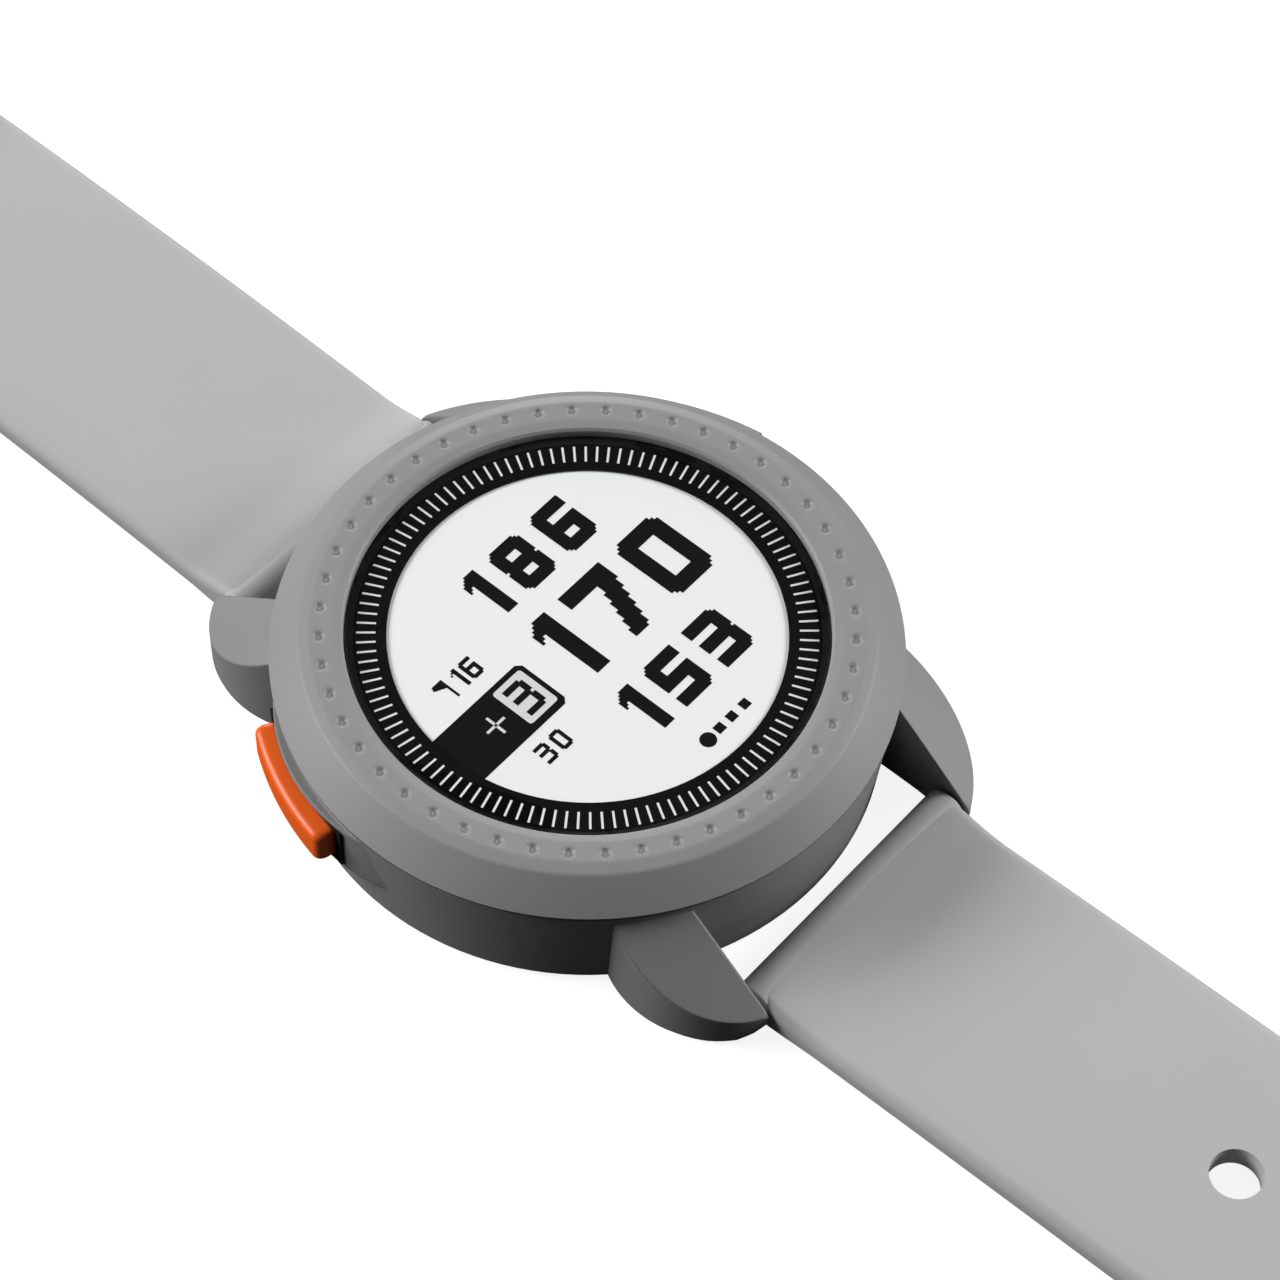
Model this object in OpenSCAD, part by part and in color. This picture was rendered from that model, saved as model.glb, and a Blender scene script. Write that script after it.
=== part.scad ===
// Round wrist watch that reads distances on a golf course: a dimpled bezel over a
// round reflective display, a plastic case with four lugs, two push keys and a
// two-piece silicone strap on spring bars, laid out flat.
// Frame: origin at the centre of the case back's resting face, +Z out of the
// display, +Y towards 12 o'clock (the buckle half of the strap). Millimetres.

/* [Case] */
// Diameter of the bezel, the widest round of the case
case_d = 45.6; // [41:0.2:55]
// Height from the case back's resting face to the bezel's crown
case_h = 12.8; // [11.8:0.1:15.4]
// Thickness of the case's side wall
wall = 2.2; // [1.8:0.1:2.7]
// How far the case back stands below the case's lower rim
back_drop = 0.4; // [0.3:0.1:0.8]
// Thickness of the case back
back_t = 1.6; // [1.3:0.1:2]

/* [Bezel] */
// Height of the bezel ring
bezel_h = 2.9; // [2.6:0.1:3.3]
// Width of the bezel, from the window to its outer edge
bezel_w = 5.4; // [5:0.1:6.4]
// Number of dimples round the bezel
dimples = 48; // [36:1:60]
// Diameter of one dimple's rim
dimple_d = 0.9; // [0.6:0.05:1.1]

/* [Display] */
// Thickness of the glass
glass_t = 0.6; // [0.5:0.05:0.75]
// Width of the black ring round the lit area
ring_w = 3.05; // [2.5:0.05:3.7]
// Thickness of the display panel
panel_t = 1.1; // [0.9:0.1:1.3]
// Number of tick marks printed round the lit area
ticks = 120; // [60:12:144]

/* [Strap] */
// Width of the strap between the lugs
strap_w = 22; // [18:1:24]
// Thickness of the strap
strap_t = 2.1; // [1.7:0.1:2.5]
// Length of the buckle half, from bar to bar
short_l = 80; // [67:1:96]
// Length of the hole half, from its bar to its tip
long_l = 120; // [110:1:144]
// Diameter of the adjustment holes
hole_d = 3.8; // [3.1:0.1:4.4]
// Number of adjustment holes
holes = 10; // [6:1:10]
// Spacing of the adjustment holes
hole_pitch = 6.5; // [5:0.5:7]

/* [Bars and buckle] */
// Diameter of a spring bar's body
bar_d = 1.8; // [1.5:0.1:2.1]
// Distance from the bezel's rim to a spring bar's centre line
bar_gap = 2.3; // [2.1:0.1:4.2]
// Height of the spring bars above the resting face
bar_z = 1.9; // [1.8:0.1:2.4]
// Diameter of the buckle's wire
wire_d = 2.2; // [1.8:0.1:2.6]
// Reach of the buckle beyond its bar
buckle_reach = 11; // [9:0.5:13]

/* [Keys] */
// Angle each key spans round the case
key_span = 26; // [22:1:31]
// Where the keys sit, measured up from 3 and 9 o'clock
key_angle = 22; // [18:1:24]
// Height of a key
key_h = 3.2; // [2.6:0.1:3.8]
// How far a key travels when pressed
key_travel = 0.6; // [0.4:0.1:0.7]
// Diameter of a key's stem
stem_d = 2; // [1.6:0.1:2.4]

/* [Hidden] */
$fn = 96;

fit = 0.05;              // running clearance of a pin in its hole, and between flat neighbours
side_gap = 0.2;          // between the strap's edges and the lugs

case_r = case_d / 2;
bar_y = case_r + bar_gap;   // from the case's centre to a spring bar
body_r = case_r - 0.25;  // the case wall, just inside the bezel's rim
cavity_r = body_r - wall - 0.3;
rim_z = back_drop;
seam_z = case_h - bezel_h;
groove = 0.25;           // height of the dark line between the bezel and the case
window_r = case_r - bezel_w;
screen_r = window_r - ring_w;
crease_r = case_r - 2.2;
dimple_ring_r = (window_r + crease_r) / 2 + 0.1;
crease_drop = 0.35;
glass_top = case_h - 0.5;
glass_r = window_r - fit;
glass_z = glass_top - glass_t;
gasket_t = 0.3;
gasket_w = 0.7;
ledge_r = glass_r - gasket_w;
print_t = 0.1;
panel_z = glass_z - print_t - fit - panel_t;
panel_r = ledge_r - 0.4;

// The stack inside the case, from the display down
carrier_t = 0.8;
carrier_z = panel_z - carrier_t - fit;
board_t = 0.8;
board_r = cavity_r - 3.8;
board_z = carrier_z - board_t - 0.7;
stand_r = board_r - 1.6;
inner_floor = rim_z + back_t + 0.1;
battery_size = [19, 24, 4.6];
battery_x = -3.6;

back_r = cavity_r + 0.6;
back_lip_r = cavity_r - 0.2;
seal_w = 0.7;
screw_ring_r = cavity_r - 1.8;
screw_r = 0.7;
screw_head_r = 1.2;
screw_head_t = 0.5;
screw_z = 0.35;
screw_angles = [38, 142, 218, 322];
boss_r = 1.9;

lug_gap = strap_w / 2 + side_gap;
lug_arc_r = 8.3;
lug_arc_x = lug_gap - 3.3;
lug_arc_y = bar_y - 5.9;
lug_tip_y = bar_y + 1.7;
lug_low_z = 0.45;

key_z = seam_z - 3.15;
key_in_r = body_r + 0.3;
key_out_r = body_r + 1.9;
guard_r = body_r + 0.75;
guard_half = key_span / 2 + 6;
guard_shift = (guard_r ^ 2 - body_r ^ 2) / (2 * (guard_r - body_r * cos(guard_half)));
pocket_depth = 0.6;
pocket_margin = 0.75;
frame_t = 0.4;
stem_in_r = cavity_r - 1.2;
clip_t = 0.4;
switch_size = [3.4, 3.6, 2.4];

short_rise = 1.2;        // how far each half bows up between its bar and its far end
long_rise = 1.65;
barrel_r = 1.65;
end_drop = 0.4;          // how far the band starts below its bar's centre
tip_z = strap_t / 2 + 0.02;
rib_step = 2.5;
slot_w = 3.4;
loop_w = 5;
loop_t = 1.2;
loop_room = 2.5;         // height left above the strap for the other half
buckle_y = bar_y + short_l;
buckle_z = wire_d / 2 + 0.05;
buckle_bar_d = 1.5;
buckle_in_w = strap_w / 2 + 0.6;
first_hole_y = bar_y + 33.5;
keeper_y = buckle_y - 24;
keeper_lift = 0.35;

orange = "#ff4a12";
case_grey = "#7c7c7d";
bezel_grey = "#98989a";
strap_grey = "#b2b2b2";

// Height of the strap's mid-line at a distance s from the bar, for a half of length len
function mid_z(s, len, end_z, rise) =
    bar_z - end_drop + (end_z - bar_z + end_drop) * s / len + rise * 4 * (s / len) * (1 - s / len);

// Closed outline of a strap half in its side view: out along the top, back underneath
function strap_outline(len, end_z, rise, from, to) =
    let (n = ceil((to - from) / rib_step), steps = [for (i = [0 : n]) from + (to - from) * i / n])
    concat(
        [for (s = steps) [s, mid_z(s, len, end_z, rise) + strap_t / 2]],
        [for (i = [n : -1 : 0]) [steps[i], mid_z(steps[i], len, end_z, rise) - strap_t / 2]]);

// Extrudes a side view (first axis along +Y, second up) over a width centred on x
module side_view(w, x = 0) {
    translate([x - w / 2, 0, 0]) rotate([90, 0, 90]) linear_extrude(w) children();
}

// Cylinder along X, centred
module bar_x(r, l) {
    rotate([0, 90, 0]) cylinder(r = r, h = l, center = true);
}

module ring(r_out, r_in, h, z) {
    translate([0, 0, z]) difference() {
        cylinder(r = r_out, h = h);
        translate([0, 0, -1]) cylinder(r = r_in, h = h + 2);
    }
}

// Wedge of plan angle span about the +X axis, used to cut keys and guards from rings
module wedge(span, r, h, z) {
    translate([0, 0, z]) linear_extrude(h)
        polygon([[0, 0], [r, -r * tan(span / 2)], [r, r * tan(span / 2)]]);
}

module sector(r_out, r_in, span, h, z) {
    intersection() {
        ring(r_out, r_in, h, z);
        wedge(span, r_out + 2, h + 2, z - 1);
    }
}

// Plan angle taken by a length measured along the case wall
function along_wall(l) = l / body_r * 180 / PI;

module left_side() { rotate([0, 0, 180 - key_angle]) children(); }
module right_side() { rotate([0, 0, key_angle]) children(); }

// ---- Bezel and display ----

module bezel() {
    color(bezel_grey) difference() {
        rotate_extrude() polygon([
            [ledge_r, glass_z - gasket_t - 0.5], [ledge_r, glass_z - gasket_t],
            [window_r, glass_z - gasket_t], [window_r, case_h - 0.35],
            [window_r + 0.2, case_h - 0.15], [dimple_ring_r - 0.7, case_h],
            [dimple_ring_r + 0.7, case_h],
            [crease_r, case_h - crease_drop], [case_r, seam_z + 0.35],
            [case_r, seam_z + 0.1], [case_r - 0.2, seam_z],
            [cavity_r + 0.4, seam_z], [cavity_r + 0.4, glass_z - gasket_t - 0.5]]);
        for (i = [0 : dimples - 1])
            rotate([0, 0, i * 360 / dimples])
                translate([dimple_ring_r, 0, case_h - dimple_d * 0.35])
                    cylinder(d1 = dimple_d * 0.4, d2 = dimple_d * 1.6, h = dimple_d * 0.7, $fn = 24);
    }
}

module glass() {
    color([0.85, 0.9, 0.95, 0.35]) rotate_extrude() polygon([
        [0, glass_z], [glass_r, glass_z], [glass_r, glass_top - 0.15],
        [glass_r - 0.15, glass_top], [0, glass_top]]);
}

module glass_gasket() {
    color("#101010") ring(glass_r, ledge_r + fit, gasket_t, glass_z - gasket_t);
}

// Black ring printed under the glass, with its tick marks cut through
module dial_ring() {
    tick_in = screen_r + 0.75;
    tick_l = ledge_r - 0.15 - tick_in;
    color("#0b0b0b") difference() {
        ring(ledge_r, screen_r, print_t, glass_z - print_t);
        for (i = [0 : ticks - 1])
            rotate([0, 0, i * 360 / ticks])
                translate([tick_in, -0.07, glass_z - print_t - 1]) cube([tick_l, 0.14, 2]);
    }
}

module display_panel() {
    color("#f2f4f6") translate([0, 0, panel_z]) cylinder(r = panel_r, h = panel_t);
}

module display_carrier() {
    color("#2a2a2c") {
        ring(panel_r, panel_r - 3, carrier_t, carrier_z);
        ring(cavity_r - 0.3, panel_r + 0.1, panel_t, carrier_z);
        ring(panel_r + 0.2, panel_r - 0.5, carrier_t, carrier_z);
    }
}

// ---- Case ----

// One lug at the upper right, before it is mirrored to the other corners
module lug() {
    root_y = 8;
    intersection() {
        linear_extrude(seam_z) intersection() {
            translate([lug_gap, root_y]) square([body_r, lug_tip_y - root_y]);
            translate([lug_arc_x, lug_arc_y]) circle(r = lug_arc_r);
        }
        // The top falls away from the case as a cone
        rotate_extrude() polygon([
            [cavity_r, lug_low_z], [body_r + 12, lug_low_z], [body_r + 12, seam_z - 12.6],
            [body_r - 0.3, seam_z - 0.65], [cavity_r, seam_z - 0.65]]);
        // The nose is rounded in its side view
        side_view(4 * body_r) polygon([
            [root_y, lug_low_z + 0.2], [bar_y - 3, lug_low_z + 0.2], [bar_y - 1, lug_low_z],
            [bar_y + 0.5, lug_low_z], [bar_y + 1.2, lug_low_z + 0.5], [lug_tip_y, bar_z - 0.2],
            [lug_tip_y, bar_z + 0.5], [lug_tip_y - 0.4, bar_z + 1.1], [root_y, case_h + 9]]);
    }
}

module case_body() {
    pocket_span = key_span + along_wall(2 * pocket_margin);
    color(case_grey) difference() {
        union() {
            rotate_extrude() polygon([
                [cavity_r, rim_z + 0.7], [back_r + 2 * fit, rim_z + 0.7], [back_r + 2 * fit, rim_z],
                [body_r - 1, rim_z], [body_r - 0.75, rim_z + 0.3], [body_r - 0.65, rim_z + 1.6],
                [body_r, seam_z - groove - 0.15], [body_r - 0.35, seam_z - groove],
                [body_r - 0.35, seam_z], [cavity_r, seam_z]]);
            for (x = [0, 1], y = [0, 1]) mirror([x, 0, 0]) mirror([0, y, 0])
                difference() {
                    lug();
                    cylinder(r = cavity_r + 0.5, h = 3 * case_h, center = true);
                }
            left_side() guard();
            right_side() guard();
            for (a = screw_angles) rotate([0, 0, a]) translate([screw_ring_r, 0, inner_floor + 0.6])
                cylinder(r = boss_r, h = 2.6, $fn = 48);
        }
        // The case back's seat
        translate([0, 0, -1]) cylinder(r = back_r + 2 * fit, h = rim_z + 1.7);
        // Screw holes in the bosses
        for (a = screw_angles) rotate([0, 0, a]) translate([screw_ring_r, 0, 0])
            cylinder(r = screw_r + fit / 2, h = inner_floor + 2.6, $fn = 32);
        // Holes for the ends of the spring bars
        for (y = [-1, 1]) translate([0, y * bar_y, bar_z]) bar_x(bar_d / 4 + fit, 2 * lug_gap + 2);
        left_side() key_cut(pocket_span);
        right_side() key_cut(pocket_span);
    }
}

// Swelling of the wall that shields a key, a crescent in plan
module guard() {
    low = key_z - key_h / 2 - 0.75;
    difference() {
        translate([guard_shift, 0, low]) cylinder(r = guard_r - guard_shift, h = key_h + 1.5);
        translate([0, 0, low - 1]) cylinder(r = cavity_r + 0.5, h = key_h + 4);
    }
}

// Pocket for a key and its frame, and the bore for its stem with a seal groove
module key_cut(pocket_span) {
    sector(guard_r + 2, body_r - pocket_depth, pocket_span, key_h + 2 * frame_t,
        key_z - key_h / 2 - frame_t);
    translate([0, 0, key_z]) rotate([0, 90, 0]) {
        cylinder(r = stem_d / 2 + fit, h = body_r + 5, $fn = 48);
        translate([0, 0, body_r - pocket_depth - 0.9]) cylinder(r = stem_d / 2 + 0.6, h = 1, $fn = 48);
    }
}

module case_back() {
    color("#3a3b3d") difference() {
        union() {
            rotate_extrude() polygon([
                [0, 0], [back_r - 2, 0], [back_r - 0.2, rim_z * 0.7], [back_r, rim_z],
                [back_r, rim_z + 0.65], [back_lip_r, rim_z + 0.65], [back_lip_r, inner_floor],
                [0, inner_floor]]);
        }
        for (a = screw_angles) rotate([0, 0, a]) translate([screw_ring_r, 0, -1]) {
            cylinder(r = screw_r + 0.1, h = 9, $fn = 32);
            cylinder(r = screw_head_r + 0.1, h = 1 + screw_z + screw_head_t, $fn = 32);
        }
        for (i = [-1.5 : 1.5]) translate([i * 3, -9, -1]) cylinder(r = 0.8, h = 9, $fn = 32);
    }
}

// O-ring in a corner between the case back's lip and the wall
module back_seal() {
    color("#151515") ring(back_lip_r + 0.15, back_lip_r - seal_w + 0.1, 0.35, inner_floor + fit);
}

module back_screws() {
    color("silver") for (a = screw_angles) rotate([0, 0, a]) translate([screw_ring_r, 0, 0])
        difference() {
            union() {
                translate([0, 0, screw_z]) cylinder(r = screw_head_r, h = screw_head_t, $fn = 32);
                translate([0, 0, screw_z + 0.1]) cylinder(r = screw_r, h = back_t + 2.4, $fn = 32);
            }
            for (t = [0, 90]) rotate([0, 0, t])
                translate([-0.7, -0.14, screw_z - 0.3]) cube([1.4, 0.28, 0.6]);
        }
}

module charge_contacts() {
    color("gold") for (i = [-1.5 : 1.5]) translate([i * 3, -9, 0.05]) {
        cylinder(r = 0.75, h = inner_floor + 0.2, $fn = 32);
        translate([0, 0, inner_floor]) cylinder(r = 1.1, h = 0.3, $fn = 32);
    }
}

// ---- Electronics ----

module main_board() {
    color("#1f5c3a") difference() {
        translate([0, 0, board_z]) cylinder(r = board_r, h = board_t);
        for (a = screw_angles) rotate([0, 0, a]) translate([stand_r, 0, board_z - 1])
            cylinder(r = 0.6, h = board_t + 2, $fn = 32);
    }
}

// Screws that hold the board up against the display carrier
module board_screws() {
    color("silver") for (a = screw_angles) rotate([0, 0, a]) translate([stand_r, 0, 0]) {
        translate([0, 0, board_z - 0.5]) cylinder(r = 1, h = 0.5, $fn = 32);
        translate([0, 0, board_z - 0.2]) cylinder(r = 0.5, h = carrier_z - board_z + 0.15, $fn = 32);
    }
}

module shield_can() {
    color("#b9bcc0") translate([-5, -6, board_z + board_t]) cube([10, 12, 0.6]);
}

module gps_antenna() {
    color("#d9d2bf") translate([battery_x + battery_size[0] / 2 + 1, -4, board_z - 2.5])
        cube([5.5, 8, 2.5]);
}

module battery() {
    color("#5b6b86")
        translate([battery_x - battery_size[0] / 2, -battery_size[1] / 2 + 2, inner_floor + 0.35])
        intersection() {
            cube(battery_size);
            translate([battery_size[0] / 2 - battery_x, battery_size[1] / 2 - 2, -1])
                cylinder(r = board_r - 1.6, h = 9);
        }
}

module vibration_motor() {
    color("#8d8f92") translate([battery_x + battery_size[0] / 2 + 3.6, 8, inner_floor + 0.05])
        cylinder(r = 3.2, h = 2.4);
}

// ---- Keys, drawn on the +X axis and turned to their places ----

module key(tint) {
    low = key_z - key_h / 2;
    edge = 0.5;
    color(tint) {
        intersection() {
            rotate_extrude() polygon([
                [key_in_r, low], [key_out_r - edge, low], [key_out_r - edge * 0.3, low + edge * 0.3],
                [key_out_r, low + edge], [key_out_r, low + key_h - edge],
                [key_out_r - edge * 0.3, low + key_h - edge * 0.3], [key_out_r - edge, low + key_h],
                [key_in_r, low + key_h]]);
            wedge(key_span, key_out_r + 3, key_h + 2, low - 1);
        }
        translate([stem_in_r, 0, key_z]) rotate([0, 90, 0])
            cylinder(r = stem_d / 2, h = key_in_r + 0.8 - stem_in_r, $fn = 48);
    }
}

// Rubber frame round the foot of a key
module key_gasket() {
    pocket_span = key_span + along_wall(2 * pocket_margin);
    inner_span = key_span + along_wall(2 * 0.35);
    color("#0c0c0c") difference() {
        sector(guard_r - 0.25, body_r - pocket_depth + 0.03, pocket_span - 0.1,
            key_h + 2 * frame_t - 0.04, key_z - key_h / 2 - frame_t + 0.02);
        sector(guard_r + 1, body_r - pocket_depth - 1, inner_span, key_h + 0.2, key_z - key_h / 2 - 0.1);
    }
}

// Snap ring that keeps the stem from pulling out
module key_clip() {
    color("silver") translate([cavity_r - clip_t - 0.2, 0, key_z]) rotate([0, 90, 0])
        difference() {
            cylinder(r = stem_d / 2 + 0.9, h = clip_t, $fn = 32);
            translate([0, 0, -1]) cylinder(r = stem_d / 2, h = clip_t + 2, $fn = 48);
        }
}

module key_switch() {
    depth = stem_in_r - key_travel - 0.1;
    low = key_z - switch_size[2] / 2;
    color("#1b1b1b") translate([depth - switch_size[0], -switch_size[1] / 2, low])
        cube([switch_size[0], switch_size[1], board_z - low]);
}

module stem_seals() {
    color("#202020") for (side = [key_angle, 180 - key_angle]) rotate([0, 0, side])
        translate([body_r - pocket_depth - 0.85, 0, key_z]) rotate([0, 90, 0]) difference() {
            cylinder(r = stem_d / 2 + 0.6, h = 0.8, $fn = 48);
            translate([0, 0, -1]) cylinder(r = stem_d / 2 + 0.03, h = 3, $fn = 48);
        }
}

// ---- Strap ----

module spring_bar() {
    color("silver") translate([0, bar_y, bar_z]) {
        bar_x(bar_d / 2, strap_w);
        bar_x(bar_d / 4, 2 * lug_gap + 1.4);
    }
}

// The bowed band of a strap half
module band(len, end_z, rise, from, to) {
    translate([0, bar_y, 0]) side_view(strap_w) polygon(strap_outline(len, end_z, rise, from, to));
}

// The barrel round the spring bar
module barrel() {
    translate([0, bar_y, bar_z]) bar_x(barrel_r, strap_w);
}

module strap_buckle_half() {
    color(strap_grey) difference() {
        union() {
            band(short_l, buckle_z, short_rise, 0.6, short_l - 0.6);
            barrel();
            translate([0, buckle_y, buckle_z]) intersection() {
                bar_x(barrel_r, strap_w);
                translate([0, 0, barrel_r - buckle_z + 0.02])
                    cube([2 * strap_w, 9, 2 * barrel_r], center = true);
            }
        }
        translate([0, bar_y, bar_z]) bar_x(bar_d / 2 + fit, strap_w + 2);
        translate([0, buckle_y, buckle_z]) bar_x(buckle_bar_d / 2 + fit, strap_w + 2);
        translate([-slot_w / 2, buckle_y - 4, -3]) cube([slot_w, 9, 12]);
    }
}

module strap_hole_half() {
    tip_r = strap_w / 2;
    color(strap_grey) mirror([0, 1, 0]) difference() {
        union() {
            intersection() {
                band(long_l, tip_z, long_rise, 0.6, long_l + 1);
                linear_extrude(4 * case_h, center = true) union() {
                    translate([-strap_w, 0]) square([2 * strap_w, bar_y + long_l - tip_r]);
                    translate([0, bar_y + long_l - tip_r]) circle(r = tip_r);
                }
            }
            barrel();
        }
        translate([0, bar_y, bar_z]) bar_x(bar_d / 2 + fit, strap_w + 2);
        for (i = [0 : holes - 1]) translate([0, first_hole_y + i * hole_pitch, -5])
            cylinder(d = hole_d, h = 20);
    }
}

// Loop round the strap, with room above it for the other half's tip
module loop(y) {
    s = y - bar_y;
    low = mid_z(s, short_l, buckle_z, short_rise) - strap_t / 2 - keeper_lift;
    room_w = strap_w + 2 * keeper_lift;
    room_h = strap_t + 2 * keeper_lift + loop_room;
    color(strap_grey) translate([0, y - loop_w / 2, low]) rotate([-90, 0, 0]) mirror([0, 1, 0])
        linear_extrude(loop_w) difference() {
            translate([-room_w / 2 - loop_t, -min(loop_t, low)])
                square([room_w + 2 * loop_t, room_h + loop_t + min(loop_t, low)]);
            translate([-room_w / 2, 0]) square([room_w, room_h]);
        }
}

module fixed_keeper() { loop(buckle_y - 9.5); }
module sliding_keeper() { loop(keeper_y); }

// ---- Buckle ----

module buckle_bar() {
    color("silver") translate([0, buckle_y, buckle_z]) {
        bar_x(buckle_bar_d / 2, 2 * buckle_in_w);
        bar_x(buckle_bar_d / 4, 2 * buckle_in_w + 1.2);
    }
}

// Flat wire frame: two arms on the bar and a front rail that the tongue rests on
module buckle_frame() {
    arm = wire_d;
    color("#6d6f73") translate([0, buckle_y, buckle_z]) difference() {
        union() {
            for (x = [-1, 1]) translate([x * (buckle_in_w + arm / 2), 0, 0]) {
                bar_x(wire_d / 2, arm);
                translate([-arm / 2, 0, -wire_d / 2]) cube([arm, buckle_reach, wire_d]);
            }
            translate([-buckle_in_w - arm, buckle_reach - 0.01, -wire_d / 2])
                cube([2 * (buckle_in_w + arm), 2.6, wire_d]);
        }
        bar_x(buckle_bar_d / 4 + fit, 2 * buckle_in_w + 1.4);
    }
}

module buckle_tongue() {
    eye_r = buckle_bar_d / 2 + 0.75;
    color("#85878b") translate([0, buckle_y, buckle_z + 0]) difference() {
        union() {
            intersection() {
                bar_x(eye_r, slot_w - 0.6);
                translate([0, 0, eye_r - buckle_z + 0.03]) cube([9, 9, 2 * eye_r], center = true);
            }
            translate([-slot_w / 2 + 0.5, 0, wire_d / 2 + fit - 0.45])
                cube([slot_w - 1, buckle_reach + 2, 1.1]);
        }
        bar_x(buckle_bar_d / 2 + fit, 12);
        translate([-5, buckle_reach - 0.6, -wire_d / 2 - 1]) cube([10, 9, wire_d + 1 + fit]);
    }
}

bezel();
glass();
glass_gasket();
dial_ring();
display_panel();
display_carrier();
case_body();
case_back();
back_seal();
back_screws();
main_board();
board_screws();
shield_can();
gps_antenna();
battery();
vibration_motor();
charge_contacts();
left_side() key(orange);  // left_key
right_side() key(case_grey);  // right_key
left_side() key_gasket();  // left_key_gasket
right_side() key_gasket();  // right_key_gasket
stem_seals();
left_side() key_clip();  // left_key_clip
right_side() key_clip();  // right_key_clip
left_side() key_switch();  // left_switch
right_side() key_switch();  // right_switch
spring_bar();  // spring_bar_12
mirror([0, 1, 0]) spring_bar();  // spring_bar_6
strap_buckle_half();
strap_hole_half();
fixed_keeper();
sliding_keeper();
buckle_frame();
buckle_bar();
buckle_tongue();
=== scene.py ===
import math
import bpy
import bmesh
import numpy as np
from mathutils import Matrix, Vector


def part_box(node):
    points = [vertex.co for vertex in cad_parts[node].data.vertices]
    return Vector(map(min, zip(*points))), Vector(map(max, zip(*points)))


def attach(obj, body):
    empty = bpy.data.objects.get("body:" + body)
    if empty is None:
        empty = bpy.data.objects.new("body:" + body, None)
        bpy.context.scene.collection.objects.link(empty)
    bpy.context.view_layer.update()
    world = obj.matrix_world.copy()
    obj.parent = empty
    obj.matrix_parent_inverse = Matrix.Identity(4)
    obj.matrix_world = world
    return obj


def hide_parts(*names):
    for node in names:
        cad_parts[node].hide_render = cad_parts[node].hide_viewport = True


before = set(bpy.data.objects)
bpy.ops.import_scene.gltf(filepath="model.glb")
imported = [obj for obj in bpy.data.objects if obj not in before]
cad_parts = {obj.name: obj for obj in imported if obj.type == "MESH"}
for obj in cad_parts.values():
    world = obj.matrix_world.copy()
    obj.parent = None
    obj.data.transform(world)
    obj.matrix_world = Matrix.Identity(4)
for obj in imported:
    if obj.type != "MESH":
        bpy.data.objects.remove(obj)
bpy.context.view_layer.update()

MM = 0.001
bez_lo, bez_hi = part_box("bezel")
ring_lo, ring_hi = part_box("dial_ring")
panel_lo, panel_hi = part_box("display_panel")
TOP = bez_hi.z
CASE_R = bez_hi.x


# ---------- materials ----------
def srgb(v):
    v = v / 255.0
    return v / 12.92 if v <= 0.04045 else ((v + 0.055) / 1.055) ** 2.4


def material(name, rgb, rough=0.5, grain=0.0, grain_size=0.15, vary=0.04, metal=0.0, spec=0.5,
             rough_vary=0.06, edge=0.0, coat=0.0, sheen=0.0):
    """A matte or metal finish: slow colour variation, fine grain bump and slightly uneven roughness."""
    m = bpy.data.materials.new(name)
    m.use_nodes = True
    nt = m.node_tree
    nodes, link = nt.nodes, nt.links.new
    p = nodes["Principled BSDF"]
    p.inputs["Metallic"].default_value = metal
    p.inputs["Specular IOR Level"].default_value = spec
    p.inputs["Coat Weight"].default_value = coat
    p.inputs["Coat Roughness"].default_value = 0.12
    p.inputs["Sheen Weight"].default_value = sheen
    tc = nodes.new("ShaderNodeTexCoord")
    slow = nodes.new("ShaderNodeTexNoise")
    slow.inputs["Scale"].default_value = 90
    slow.inputs["Detail"].default_value = 4
    link(tc.outputs["Object"], slow.inputs["Vector"])
    ramp = nodes.new("ShaderNodeMix")
    ramp.data_type = "RGBA"
    lo = [c * (1 - vary) for c in rgb] + [1]
    hi = [min(1, c * (1 + vary)) for c in rgb] + [1]
    ramp.inputs["A"].default_value = lo
    ramp.inputs["B"].default_value = hi
    link(slow.outputs["Fac"], ramp.inputs["Factor"])
    link(ramp.outputs["Result"], p.inputs["Base Color"])
    rr = nodes.new("ShaderNodeMapRange")
    rr.inputs["To Min"].default_value = rough - rough_vary
    rr.inputs["To Max"].default_value = rough + rough_vary
    link(slow.outputs["Fac"], rr.inputs["Value"])
    link(rr.outputs["Result"], p.inputs["Roughness"])
    normal = None
    if edge:
        b = nodes.new("ShaderNodeBevel")
        b.samples = 6
        b.inputs["Radius"].default_value = edge
        normal = b.outputs["Normal"]
    if grain:
        fine = nodes.new("ShaderNodeTexNoise")
        fine.inputs["Scale"].default_value = 1.0 / (grain_size * MM) / 2
        fine.inputs["Detail"].default_value = 2
        link(tc.outputs["Object"], fine.inputs["Vector"])
        bump = nodes.new("ShaderNodeBump")
        bump.inputs["Strength"].default_value = 1.0
        bump.inputs["Distance"].default_value = grain * MM
        link(fine.outputs["Fac"], bump.inputs["Height"])
        if normal:
            link(normal, bump.inputs["Normal"])
        normal = bump.outputs["Normal"]
    if normal:
        link(normal, p.inputs["Normal"])
    return m


def grey(v, warm=0.0):
    g = srgb(v)
    return [g * (1 + warm), g, g * (1 - warm)]


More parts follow.
